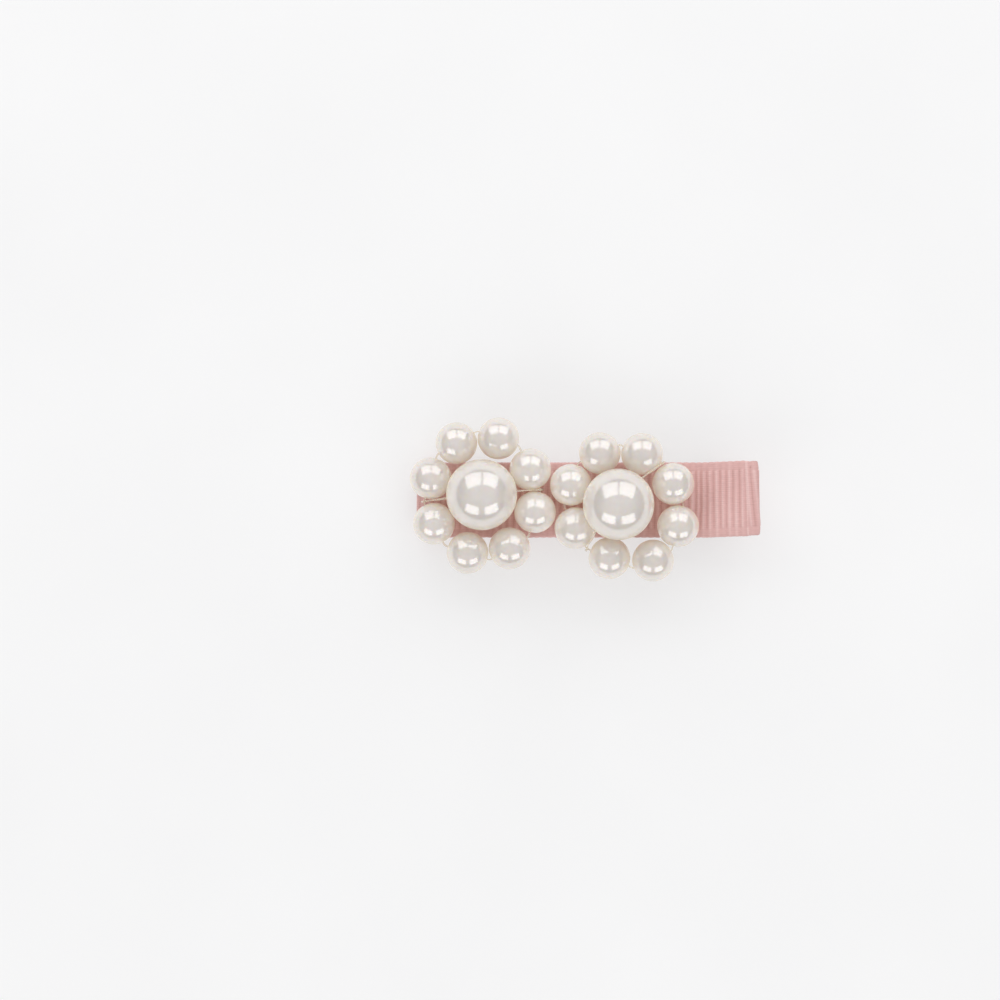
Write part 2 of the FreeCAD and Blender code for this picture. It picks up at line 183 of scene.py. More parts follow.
# Spring
WIRE_RADIUS = 0.25
WIRE_SIDES = 16
COIL_RADIUS = 1.125
COIL_HALF_LENGTH = 1.35
COIL_FULL_TURNS = 4
COIL_STEPS = 260
LEG_REACH = 8.5
LEG_GAP = 0.05
LEG_STEPS = 30

# Studio, in metres. The softboxes stand in pairs, on the +Y side of the clip (1) or the -Y side
# (-1): swing from the Y axis and angle from straight up in degrees, width, height, and watts
FLOOR_SIZE = 12.0
SOFTBOX_REACH = 0.5
SOFTBOXES = {
    "key": (1, 30, 58, 0.41, 0.44, 0.74),
    "fill": (-1, 34, 59, 0.36, 0.26, 0.45),
}
CAMERA_HEIGHT = 0.65
VIEW_WIDTH = 0.13483
VIEW_CENTRE_X = -0.01136


# Mesh building


def make_piece(name, points, faces, material):
    """A smooth mesh object from points in the row frame, in millimetres."""
    mesh = bpy.data.meshes.new(name)
    mesh.from_pydata([tuple(p * MM) for p in points], [], faces)
    mesh.validate()
    mesh.polygons.foreach_set("use_smooth", [True] * len(mesh.polygons))
    mesh.materials.append(material)
    piece = bpy.data.objects.new(name, mesh)
    bpy.context.scene.collection.objects.link(piece)
    return piece


def ring_faces(rings, around, closed):
    """Quads between successive rings of points, and a cap on each end if they don't close up."""
    faces = []
    for ring in range(rings if closed else rings - 1):
        here = ring * around
        there = (ring + 1) % rings * around
        for i in range(around):
            j = (i + 1) % around
            faces.append((here + i, here + j, there + j, there + i))
    if not closed:
        faces.append(tuple(reversed(range(around))))
        faces.append(tuple(range((rings - 1) * around, rings * around)))
    return faces


def tangents(path, closed):
    """The way along the path at each of its points."""
    count = len(path)
    ways = []
    for i, place in enumerate(path):
        before = path[i - 1] if closed or i > 0 else place
        after = path[(i + 1) % count] if closed or i < count - 1 else place
        ways.append((after - before).normalized())
    return ways


def tube(path, radius, around, closed=False):
    """Points and faces of a round tube along a path."""
    points = []
    side = None
    for place, way in zip(path, tangents(path, closed)):
        side = way.orthogonal() if side is None else side - way * side.dot(way)
        side.normalize()
        other = way.cross(side)
        for k in range(around):
            angle = 2 * math.pi * k / around
            points.append(place + (side * math.cos(angle) + other * math.sin(angle)) * radius)
    return points, ring_faces(len(path), around, closed)


def join_meshes(parts):
    """The points and faces of several meshes as one."""
    points = []
    faces = []
    for part_points, part_faces in parts:
        base = len(points)
        points += part_points
        faces += [tuple(i + base for i in face) for face in part_faces]
    return points, faces


def rounded_samples(corners, radius, step, closed=False):
    """Points along straight runs between the corners and the tangent arcs that join them.

    They are a step apart on the runs and half a step on the arcs, or a little less.
    """
    count = len(corners)
    samples = []
    spans = []
    for i in range(count):
        if not closed and i in (0, count - 1):
            spans.append([corners[i]])
            continue
        back = (corners[i - 1] - corners[i]).normalized()
        ahead = (corners[(i + 1) % count] - corners[i]).normalized()
        turn = math.pi - back.angle(ahead)
        reach = radius * math.tan(turn / 2)
        centre = corners[i] + (back + ahead).normalized() * radius / math.cos(turn / 2)
        start = (corners[i] + back * reach - centre).normalized()
        end = (corners[i] + ahead * reach - centre).normalized()
        steps = max(LEAST_ARC_STEPS, math.ceil(turn * radius / step * 2))
        spans.append([centre + start.slerp(end, k / steps) * radius for k in range(steps + 1)])
    for i in range(count if closed else count - 1):
        samples += spans[i]
        run = spans[(i + 1) % count][0] - spans[i][-1]
        steps = max(1, math.ceil(run.length / step))
        samples += [spans[i][-1] + run * (k / steps) for k in range(1, steps)]
    if not closed:
        samples += spans[-1]
    return samples


def double_line(path, closed):
    """Two strands that lie side by side along the path and turn slowly about each other."""
    lengths = [0.0]
    for here, there in zip(path, path[1:]):
        lengths.append(lengths[-1] + (there - here).length)
    total = lengths[-1] + ((path[0] - path[-1]).length if closed else 0)
    turns = max(1, round(total / STRAND_PITCH)) if closed else total / STRAND_PITCH
    strands = []
    for phase in (0, math.pi):
        strand = []
        for place, way, length in zip(path, tangents(path, closed), lengths):
            side = way.cross(UP).normalized()
            rise = side.cross(way)
            angle = phase + 2 * math.pi * turns * length / total
            offset = (side * math.cos(angle) + rise * math.sin(angle)) * STRAND_RADIUS
            strand.append(place + offset)
        strands.append(tube(strand, STRAND_RADIUS, STRAND_SIDES, closed))
    return join_meshes(strands)


# Materials


class Nodes:
    """A short way to write a procedural material.

    What its methods take and return, other than nodes from add, are output sockets.
    """

    def __init__(self, name):
        self.material = bpy.data.materials.new(name)
        self.material.use_nodes = True
        self.tree = self.material.node_tree
        self.shader = self.tree.nodes["Principled BSDF"]

    def add(self, kind, inputs=None, **settings):
        """A node of a kind, with its settings and the constants on its inputs."""
        node = self.tree.nodes.new(kind)
        for name, value in settings.items():
            setattr(node, name, value)
        for name, value in (inputs or {}).items():
            node.inputs[name].default_value = value
        return node

    def link(self, output, target):
        self.tree.links.new(output, target)

    def set(self, **values):
        """Constants on the shader's own sockets."""
        for name, value in values.items():
            self.shader.inputs[name.replace("_", " ")].default_value = value

    def place(self):
        """The object's own coordinates, in metres."""
        return self.add("ShaderNodeTexCoord").outputs["Object"]

    def stretched(self, place, scale):
        """Coordinates scaled by axis: noise on them is stretched along the axes scaled down."""
        mapping = self.add("ShaderNodeMapping", {"Scale": scale})
        self.link(place, mapping.inputs["Vector"])
        return mapping.outputs["Vector"]

    def noise(self, scale, detail=3.0, place=None):
        """Noise with a number of cells per unit of the place, which is metres unless given."""
        texture = self.add("ShaderNodeTexNoise", {"Scale": scale, "Detail": detail})
        self.link(self.place() if place is None else place, texture.inputs["Vector"])
        return texture.outputs["Fac"]

    def ramp(self, value, *stops):
        """The colour that goes with a value, from stops of (value, colour)."""
        ramp = self.add("ShaderNodeValToRGB")
        elements = ramp.color_ramp.elements
        while len(elements) < len(stops):
            elements.new(0.5)
        for element, (position, colour) in zip(elements, stops):
            element.position = position
            element.color = (*colour, 1)
        self.link(value, ramp.inputs["Fac"])
        return ramp.outputs["Color"]

    def multiply(self, first, second):
        """The product of two colours."""
        mix = self.add("ShaderNodeMix", {"Factor": 1.0}, data_type="RGBA", blend_type="MULTIPLY")
        colours = [socket for socket in mix.inputs if socket.type == "RGBA"]
        self.link(first, colours[0])
        self.link(second, colours[1])
        return next(socket for socket in mix.outputs if socket.type == "RGBA")

    def paint(self, value, *stops):
        """The shader's colour, from stops of (value, colour)."""
        self.link(self.ramp(value, *stops), self.shader.inputs["Base Color"])

    def roughen(self, value, *stops):
        """The shader's roughness, from stops of (value, roughness)."""
        greys = [(position, (rough, rough, rough)) for position, rough in stops]
        self.link(self.ramp(value, *greys), self.shader.inputs["Roughness"])

    def bump(self, height, strength, distance, normal=None):
        """The shader's fine relief, on top of a given normal. The distance is in metres."""
        bump = self.add("ShaderNodeBump", {"Strength": strength, "Distance": distance})
        self.link(height, bump.inputs["Height"])
        if normal is not None:
            self.link(normal, bump.inputs["Normal"])
        self.link(bump.outputs["Normal"], self.shader.inputs["Normal"])


def pearl_material():
    """Imitation pearl: many thin coats of pearl lacquer, with a clear gloss over a soft sheen.

    The faint warm emission is a painted glow that stands in for the light the lacquer lets through.
    """
    nodes = Nodes("pearl_lacquer")
    nodes.paint(nodes.noise(350.0), (0.35, (0.53, 0.53, 0.545)), (0.65, (0.58, 0.58, 0.60)))
    nodes.roughen(nodes.noise(900.0), (0.3, 0.2), (0.7, 0.26))
    nodes.bump(nodes.noise(1000.0, detail=2.0), strength=0.5, distance=0.00002)
    nodes.set(Metallic=0.12, IOR=1.6, Sheen_Weight=1.0)
    nodes.set(Coat_Weight=1.0, Coat_Roughness=0.09, Coat_IOR=2.3)
    nodes.set(Sheen_Roughness=0.4, Sheen_Tint=(1.0, 0.92, 0.76, 1.0))
    # Painted glow: a warm emission that lifts the pearls' shaded sides and the ribbon between them
    nodes.set(Emission_Color=(1.0, 0.80, 0.54, 1.0), Emission_Strength=0.2)
    nodes.set(Subsurface_Weight=0.9, Subsurface_Scale=0.003, Subsurface_Radius=(1.0, 0.6, 0.3))
    return nodes.material


def ribbon_material():
    """Grosgrain: fine warp threads that run along the strip over thick weft ribs.

    Its strip attribute is the place on the strip in millimetres, across and along it, and its
    other attribute is painted light and shade on the yarn, with each rib's own tone.
    """
    nodes = Nodes("grosgrain")
    strip = nodes.add("ShaderNodeAttribute", attribute_name="strip").outputs["Vector"]
    painted_light_and_tone = nodes.add("ShaderNodeAttribute", attribute_name="painted_light_and_tone").outputs["Fac"]
    sizes = {"Scale": 1.2, "Distortion": 1.5, "Detail": 2.0, "Detail Scale": 1.0}
    warp = nodes.add("ShaderNodeTexWave", sizes, wave_type="BANDS", bands_direction="X")
    nodes.link(strip, warp.inputs["Vector"])
    fibre = nodes.noise(9.0, detail=4.0, place=nodes.stretched(strip, (0.6, 0.12, 0.6)))
    # The yarn's colour with painted light and shade: darker in the ribs' valleys, lighter on their
    # tops
    yarn_colour_with_painted_light = nodes.ramp(
        painted_light_and_tone,
        (0.0, (0.68, 0.39, 0.36)),
        (0.35, (0.78, 0.475, 0.45)),
        (0.75, (0.80, 0.50, 0.475)),
        (1.0, (0.88, 0.60, 0.57)),
    )
    warp_shade = nodes.ramp(warp.outputs["Fac"], (0.0, (0.95, 0.94, 0.94)), (1.0, (1.0, 1.0, 1.0)))
    fibre_shade = nodes.ramp(fibre, (0.3, (0.94, 0.93, 0.93)), (0.7, (1.03, 1.03, 1.03)))
    colour = nodes.multiply(nodes.multiply(yarn_colour_with_painted_light, warp_shade), fibre_shade)
    nodes.link(colour, nodes.shader.inputs["Base Color"])
    height = nodes.add("ShaderNodeMath", operation="ADD")
    nodes.link(warp.outputs["Fac"], height.inputs[0])
    nodes.link(fibre, height.inputs[1])
    nodes.bump(height.outputs["Value"], strength=0.45, distance=0.00004)
    nodes.roughen(fibre, (0.2, 0.6), (0.8, 0.8))
    nodes.set(Sheen_Weight=0.35, Sheen_Roughness=0.4, Sheen_Tint=(1.0, 0.86, 0.84, 1.0))
    nodes.set(Specular_IOR_Level=0.3)
    return nodes.material


def nickel_material():
    """Bright nickel plate over pressed steel, with faint lines along the press direction."""
    nodes = Nodes("nickel_plate")
    along_lines = nodes.stretched(nodes.place(), (0.08, 1.0, 1.0))
    lines = nodes.noise(6000.0, detail=2.0, place=along_lines)
    tarnish = nodes.noise(260.0, detail=4.0)
    nodes.paint(tarnish, (0.35, (0.60, 0.575, 0.54)), (0.65, (0.72, 0.705, 0.68)))
    nodes.roughen(tarnish, (0.3, 0.2), (0.7, 0.32))
    rounded = nodes.add("ShaderNodeBevel", {"Radius": 0.00008}, samples=8)
    nodes.bump(lines, strength=0.15, distance=0.00001, normal=rounded.outputs["Normal"])
    nodes.set(Metallic=1.0)
    return nodes.material


def wire_material():
    """Drawn spring wire, a little darker than the plated arms."""
    nodes = Nodes("spring_wire")
    patches = nodes.noise(1500.0)
    nodes.paint(patches, (0.3, (0.42, 0.41, 0.40)), (0.7, (0.55, 0.54, 0.52)))
    nodes.roughen(patches, (0.3, 0.24), (0.7, 0.36))
    nodes.bump(patches, strength=0.1, distance=0.00001)
    nodes.set(Metallic=1.0)
    return nodes.material


def line_material():
    """Clear nylon line, yellowed a little. A trace of emission keeps it from going dark."""
    nodes = Nodes("nylon_line")
    patches = nodes.noise(1200.0)
    nodes.paint(patches, (0.3, (0.98, 0.92, 0.80)), (0.7, (0.99, 0.95, 0.87)))
    nodes.bump(patches, strength=0.08, distance=0.00001)
    nodes.set(Roughness=0.1, Transmission_Weight=0.8, IOR=1.45)
    nodes.set(Emission_Color=(1.0, 0.93, 0.80, 1.0), Emission_Strength=0.03)
    return nodes.material


def glue_material():
    """Clear craft glue, slightly cloudy."""
    nodes = Nodes("clear_glue")
    cloud = nodes.noise(700.0)
    nodes.paint(cloud, (0.3, (0.88, 0.82, 0.72)), (0.7, (0.95, 0.91, 0.84)))
    nodes.bump(cloud, strength=0.3, distance=0.00003)
    nodes.set(Roughness=0.3, Transmission_Weight=0.5, IOR=1.48)
    return nodes.material


# The arm's shape


def arm_point(distance, height):
    """A point over the middle of the bent sheet, at a distance along it from over the pivot."""
    if distance <= UPPER_BEND_START:
        return Vector((distance, 0, UPPER_MIDDLE + height))
    angle = (min(distance, UPPER_TAIL_START) - UPPER_BEND_START) / UPPER_BEND_RADIUS
    centre = Vector((UPPER_BEND_START, 0, UPPER_MIDDLE + UPPER_BEND_RADIUS))
    normal = Vector((-math.sin(angle), 0, math.cos(angle)))
    along = Vector((math.cos(angle), 0, math.sin(angle)))
    straight = max(0.0, distance - UPPER_TAIL_START)
    return centre - normal * (UPPER_BEND_RADIUS - height) + along * straight


# Ribbon

# A point in the middle of the steel, the way out from it, the ribbon's face from that point, how
# far along the strip it is, and how far along the arm
Station = namedtuple("Station", "base out face along distance")


def rolled(way, normal, turn):
    """From the steel's end to the ribbon's face, where the ribbon has turned by an angle."""
    forward = (ROLL_START + FACE) * math.sin(turn) - ROLL_START
    return way * forward + normal * (FACE * math.cos(turn))


def roll_turn(distance):
    """How far the ribbon has turned where it leaves the flat, near either end of the steel."""
    nearest = min(UPPER_TAIL_END - distance, distance - UPPER_TIP)
    return math.asin(max(0.0, ROLL_START - nearest) / (ROLL_START + FACE))


def flat_stations(start, end, side, travelled):
    """Stations over the arm (side 1) or under it (side -1), between two distances along it."""
    length = abs(end - start)
    steps = round(length / STATION_STEP)
    stations = []
    for k in range(steps + 1):
        distance = start + (end - start) * k / steps
        base = arm_point(distance, 0)
        out = (arm_point(distance, 1) - base) * side
        face = out * (FACE * math.cos(roll_turn(distance)))
        stations.append(Station(base, out, face, travelled + length * k / steps, distance))
    return stations


def fold_stations(last, travelled):
    """Stations round an end of the steel, after the last one on its face."""
    way = Matrix.Rotation(math.pi / 2, 3, "Y") @ last.out
    first_turn = roll_turn(last.distance)
    steps = round(FOLD_LENGTH / STATION_STEP)
    stations = []
    for k in range(1, steps):
        out = Matrix.Rotation(math.pi * k / steps, 3, "Y") @ last.out
        face = rolled(way, last.out, first_turn + (math.pi - 2 * first_turn) * k / steps)
        along = travelled + FOLD_LENGTH * k / steps
        stations.append(Station(last.base, out, face, along, last.distance))
    return stations


def ribbon_stations():
    """Stations along the strip, in order, and the strip's length."""
    runs = [
        (JAW_LINING_END, UPPER_TIP, -1),
        (UPPER_TIP, UPPER_TAIL_END, 1),
        (UPPER_TAIL_END, UPPER_TAIL_START + TAIL_LINING_GAP, -1),
    ]
    stations = []
    travelled = 0.0
    for start, end, side in runs:
        if stations:
            stations += fold_stations(stations[-1], travelled)
            travelled += FOLD_LENGTH
        stations += flat_stations(start, end, side, travelled)
        travelled += abs(end - start)
    return stations, travelled


def ribbon_columns():
    """Places across the strip, closer together towards its two edges."""
    half = RIBBON_WIDTH / 2
    middle_start = -half + EDGE_COLUMNS[-1]
    middle = [middle_start * (1 - 2 * k / MIDDLE_STEPS) for k in range(1, MIDDLE_STEPS)]
    return [-half + e for e in EDGE_COLUMNS] + middle + [half - e for e in reversed(EDGE_COLUMNS)]


def uneven(kind, along, y):
    """How far the weave strays at a place on the strip."""
    most, length, width, layer = kind
    return most * noise.noise(Vector((along / length, y / width, layer)))


def rib_wave(along):
    """Rounded ribs with narrow valleys, from 0 to 1, slightly uneven along the strip."""
    wander = uneven(RIB_SPACING, along, SPACING_LINE)
    wave = abs(math.sin(math.pi * (along + wander) / RIB_PITCH))
    return (wave + wave * wave) / 2


def rib_shade(along, y):
    """How much lighter one rib's yarn is than the next."""
    rib = math.floor(along / RIB_PITCH)
    return uneven(RIB_SHADE, rib * SHADE_STEP, y)


def eased(value, start, end):
    """Rises smoothly from 0 at start to 1 at end."""
    share = min(1.0, max(0.0, (value - start) / (end - start)))
    return share * share * (3 - 2 * share)


def mixed(start, end, share):
    """The value a share of the way from start to end."""
    return start + (end - start) * share


def skewed(place, distance, y):
    """Turns the ribbon a little in the tail's plane, about the bend."""
    turn = math.radians(TAIL_SKEW) * eased(distance, UPPER_BEND_START, UPPER_BEND_START + SKEW_RUN)
    root = arm_point(UPPER_TAIL_START, 0)
    along = (arm_point(UPPER_TAIL_END, 0) - root).normalized()
    length = (place - root).dot(along)
    moved = place + along * (length * (math.cos(turn) - 1) - y * math.sin(turn))
    return Vector((moved.x, length * math.sin(turn) + y * math.cos(turn), moved.z))


def ribbon_point(station, y, outside):
    """One point of the ribbon's face or back, and its yarn's tone with painted light and shade there.
    """
    base, out, face, along, distance = station
    inward = RIBBON_WIDTH / 2 - abs(y)
    past_crease = eased(distance, TAIL_CREASE - CREASE_BLEND, TAIL_CREASE + CREASE_BLEND)
    lean = math.radians(RIB_LEAN + CREASE_LEAN * past_crease)
    rib_place = along - y * math.tan(lean)
    wave = rib_wave(rib_place + uneven(RIB_WAVER, along, y))
    scallop = EDGE_SCALLOP * wave * (1 - min(1.0, inward / SCALLOP_REACH))
    edge_y = math.copysign(scallop + uneven(EDGE_WAVER, along, y), y)
    y_out = (y + edge_y) * (1 - CREASE_NARROWING * past_crease)
    sway = uneven(RIPPLE, along, y) - EDGE_DROOP * max(0.0, abs(y) - DROOP_START) ** DROOP_POWER
    if not outside:
        return skewed(base + out * (HALF_SHEET + BACK_CLEARANCE + sway), distance, y_out), BACK_SHADE

    on_top = 1.0 if out.z > 0.5 else 0.0
    crease = on_top * math.exp(-((distance - TAIL_CREASE) / CREASE_WIDTH) ** 2)
    hole_x, hole_y = NEEDLE_HOLE
    from_hole = (distance - hole_x) ** 2 + (y - hole_y) ** 2
    hole = on_top * math.exp(-from_hole / NEEDLE_HOLE_WIDTH ** 2)
    groove = math.exp(-((inward - SELVEDGE) / GROOVE_WIDTH) ** 2)
    rounding = 1 - math.sqrt(1 - (1 - min(1.0, inward / EDGE_ROUND)) ** 2)
    body = eased(inward, SELVEDGE - SELVEDGE_BLEND, SELVEDGE + SELVEDGE_BLEND)
    relief = RIB_HEIGHT * wave * mixed(SELVEDGE_RELIEF, 1, body)
    relief += CREASE_RISE * crease - GROOVE_DEPTH * groove - NEEDLE_HOLE_DEPTH * hole
    relief -= rounding * (RIBBON - RIB_HEIGHT) * EDGE_THINNING
    # Painted light and shade: the tops of the ribs lighter and their valleys darker, less so in the
    # selvedge
    shade = wave * mixed(SELVEDGE_CONTRAST, 1, body) + mixed(SELVEDGE_SHADE, 0, body)
    # Each rib's own tone, a painted highlight along the crease and painted shade in the needle hole
    shade += rib_shade(rib_place, y) + CREASE_HIGHLIGHT * crease - hole
    return skewed(base + face + out * (relief + sway), distance, y_out), shade


def ribbon_cover(material):
    """The strip wrapped round the upper arm, as one closed skin of face, edges and back."""
    stations, length = ribbon_stations()
    columns = ribbon_columns()
    loop = [(y, True) for y in columns] + [(y, False) for y in reversed(columns)]
    points = []
    strip = []
    painted_light_and_tone_values = []
    for station in stations:
        for y, outside in loop:
            place, painted_light_and_tone = ribbon_point(station, y, outside)
            points.append(TO_ROW @ place)
            strip.append((y, station.along, 0.0 if outside else BACK_LAYER))
            painted_light_and_tone_values.append(painted_light_and_tone)
    faces = ring_faces(len(stations), len(loop), closed=False)
    piece = make_piece("ribbon_wrap", points, faces, material)
    coordinates = piece.data.attributes.new("strip", "FLOAT_VECTOR", "POINT")
    coordinates.data.foreach_set("vector", [x for place in strip for x in place])
    shade = piece.data.attributes.new("painted_light_and_tone", "FLOAT", "POINT")
    shade.data.foreach_set("value", painted_light_and_tone_values)
    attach(piece, "upper")
    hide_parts("ribbon_cover")


# Pearls


def node_centre(node):
    """The middle of a CAD node's box, in millimetres in the row frame."""
    low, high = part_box(node)
    return (low + high) / 2 / MM


def node_radius(node):
    """Half of a CAD node's width, in millimetres."""
    low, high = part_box(node)
    return (high.y - low.y) / 2 / MM


def bead_outline(radius, hole, steps):
    """A closed outline to turn about the hole's axis: (distance from the axis, height along it)."""
    rim_centre = hole + HOLE_RIM
    rim_height = math.sqrt((radius - HOLE_RIM) ** 2 - rim_centre ** 2)
    start = math.atan2(rim_centre, rim_height)
    outline = []
    for k in range(steps + 1):
        angle = start + (math.pi - 2 * start) * k / steps
        outline.append((radius * math.sin(angle), radius * math.cos(angle)))
    rim = []
    for k in range(1, HOLE_RIM_STEPS + 1):
        angle = start - (start + math.pi / 2) * k / HOLE_RIM_STEPS
        rim.append((rim_centre + HOLE_RIM * math.sin(angle), rim_height + HOLE_RIM * math.cos(angle)))
    outline += [(r, -h) for r, h in rim]
    outline.append((hole, 0.0))
    outline += list(reversed(rim))
    return outline


def bead(name, node, way, hole, mesh_steps, material, seed):
    """A drilled bead with rounded hole rims and a lacquer surface that isn't quite even.

    The seed picks the noise that its surface follows.
    """
    centre = node_centre(node)
    radius = node_radius(node)
    turn = way.to_track_quat("Z", "Y").to_matrix()
    around, steps = mesh_steps
    outline = bead_outline(radius, hole, steps)
    points = []
    for k in range(around):
        angle = 2 * math.pi * k / around
        for r, h in outline:
            place = Vector((r * math.cos(angle), r * math.sin(angle), h))
            lumps = noise.noise(place / radius * LUMP_COUNT + Vector((seed * 7.3, seed, 0)))
            grain = noise.noise(place / GRAIN_SIZE + Vector((seed, 0, seed * 3.1)))
            grow = 1 - LUMP_HEIGHT + LUMP_HEIGHT * lumps + GRAIN_HEIGHT * grain
            points.append(centre + turn @ (place * grow))
    faces = ring_faces(around, len(outline), closed=True)
    piece = make_piece(name, points, faces, material)
    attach(piece, "upper")
    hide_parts(node)


def petal_centres(flower):
    return [node_centre(f"{flower}_petal_{i + 1}") for i in range(PETALS)]


def petal_ways(places):
    """The way of the line through each petal, along the ring."""
    return [(places[(i + 1) % PETALS] - places[i - 1]).normalized() for i in range(PETALS)]


def thread_way(flower):
    """The way of the line through the large pearl."""
    angle = math.radians(THREAD_ANGLES[flower])
    return TO_ROW.to_3x3() @ Vector((math.cos(angle), math.sin(angle), 0))


def flower_beads(flower, material, seed):
    """The ring of small pearls and the large one in their middle."""
    for i, way in enumerate(petal_ways(petal_centres(flower))):
        node = f"{flower}_petal_{i + 1}"
        bead(f"{flower}_bead_{i + 1}", node, way, HOLE_RADIUS, PETAL_STEPS, material, seed + i)
    node = f"{flower}_centre_pearl"
    bead(f"{flower}_centre_bead", node, thread_way(flower), CENTRE_HOLE_RADIUS, CENTRE_STEPS,
         material, seed + PETALS)


# Line


def arm_plan(places):
    """Places in the arm's own frame, where each ring of pearls lies flat."""
    return [TO_ARM @ place for place in places]


def ring_corners(places):
    """Where the straight runs of the line through neighbouring pearls would meet."""
    ways = petal_ways(places)
    corners = []
    for i, place in enumerate(places):
        after = (i + 1) % PETALS
        between = places[after] - place
        reach = between.cross(ways[after]).z / ways[i].cross(ways[after]).z
        corners.append(place + ways[i] * reach)
    return corners


def hook_points(places, before):
    """The cross line's end, in the gap after a petal: down outside the ring and under it."""
    after = (before + 1) % PETALS
    between = (places[before] + places[after]) / 2
    outward = (places[after] - places[before]).cross(UP).normalized()
    sagitta = THREAD_BEND * (1 / math.cos(math.pi / PETALS) - 1)
    reach = (ring_corners(places)[before] - between).dot(outward) - sagitta
    ring = between + outward * reach
    above = UP * HOOK_OFFSET
    beyond = outward * HOOK_OFFSET
    return [ring + above + beyond, ring - above + beyond, ring - above - outward * HOOK_TAIL]


def flower_lines(flower, material):
    """The line strung round the ring, and the one through the large pearl hooked to it."""
    places = arm_plan(petal_centres(flower))
    ring_path = rounded_samples(ring_corners(places), THREAD_BEND, THREAD_STEP, closed=True)
    middle = TO_ARM @ node_centre(f"{flower}_centre_pearl")
    way = TO_ARM.to_3x3() @ thread_way(flower)
    mouth = way * node_radius(f"{flower}_centre_pearl")
    corners = list(reversed(hook_points(places, PETALS // 2 - 1)))
    corners += [middle - mouth, middle + mouth]
    corners += hook_points(places, PETALS - 1)
    cross_path = rounded_samples(corners, HOOK_BEND, HOOK_STEP)
    for kind, path, closed in (("ring", ring_path, True), ("cross", cross_path, False)):
        points, faces = double_line(path, closed)
        points = [TO_ROW @ p for p in points]
        piece = make_piece(f"{flower}_{kind}_line", points, faces, material)
        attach(piece, "upper")
        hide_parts(f"{flower}_{kind}_thread")


# Glue


def glue_outline(centre, radius, foot, contact):
    """A closed outline to turn about a pearl's upright axis: (distance from the axis, height)."""
    ribbon_top = UPPER_MIDDLE + FACE
    contact_z = centre.z - math.sqrt(radius ** 2 - contact ** 2)
    outline = [(GLUE_CORE, ribbon_top), (foot, ribbon_top)]
    for k in range(1, GLUE_SIDE_STEPS + 1):
        share = k / GLUE_SIDE_STEPS
        r = contact + (foot - contact) * (1 - share) ** GLUE_FLARE
        outline.append((r, mixed(ribbon_top, contact_z, share)))
    for k in range(1, GLUE_TOP_STEPS + 1):
        r = contact + (GLUE_CORE - contact) * k / GLUE_TOP_STEPS
        outline.append((r, centre.z - math.sqrt(radius ** 2 - r ** 2) + GLUE_CORE))
    return outline


def glue_blob(centre, radius, foot, contact, seed):
    """Glue that has flowed out on the ribbon and been drawn up round the underside of a pearl.

    The seed picks the noise that its outline follows.
    """
    points = []
    for i in range(GLUE_AROUND):
        angle = 2 * math.pi * i / GLUE_AROUND
        way = Vector((math.cos(angle), math.sin(angle), 0))
        spread = 1 + GLUE_SPREAD * noise.noise(way * 1.2 + Vector((0, 0, seed * 2.7)))
        cling = 1 + GLUE_CLING * noise.noise(way * 1.5 + Vector((0, 0, seed * 1.9 + 5)))
        outline = glue_outline(centre, radius, foot * spread, contact * cling)
        points += [Vector((centre.x, centre.y, z)) + way * r for r, z in outline]
    return points, ring_faces(GLUE_AROUND, len(outline), closed=True)


def flower_glue(flower, material, seed):
    """Glue under the large pearl, and under the petals that stand on the ribbon."""
    node = f"{flower}_centre_pearl"
    blobs = [glue_blob(TO_ARM @ node_centre(node), node_radius(node), *CENTRE_GLUE, seed)]
    for i, place in enumerate(arm_plan(petal_centres(flower))):
        if abs(place.y) < RIBBON_WIDTH / 2 - GLUE_MARGIN:
            radius = node_radius(f"{flower}_petal_{i + 1}")
            blobs.append(glue_blob(place, radius, *PETAL_GLUE, seed + i + 1))
    points, faces = join_meshes(blobs)
    piece = make_piece(f"{flower}_glue_dots", [TO_ROW @ p for p in points], faces, material)
    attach(piece, "upper")
    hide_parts(f"{flower}_glue")


# Spring


def leg_angle(end_height, side):
    """The slope of a leg whose wire touches a point at this height, LEG_REACH from the pivot.

    The leg leaves the coil under the pivot and touches from below (side 1), or the reverse (-1).
    """
    reach = math.hypot(LEG_REACH, end_height)
    slope = math.atan2(end_height, LEG_REACH)
    return slope + side * math.asin((COIL_RADIUS - WIRE_RADIUS) / reach)


def coil_way(angle, sweep):
    """The coil's tangent at an angle about the pivot, in the direction in which it is wound."""
    around = Vector((-math.sin(angle), 0, math.cos(angle))) * COIL_RADIUS
    return (around - Vector((0, 2 * COIL_HALF_LENGTH / sweep, 0))).normalized()


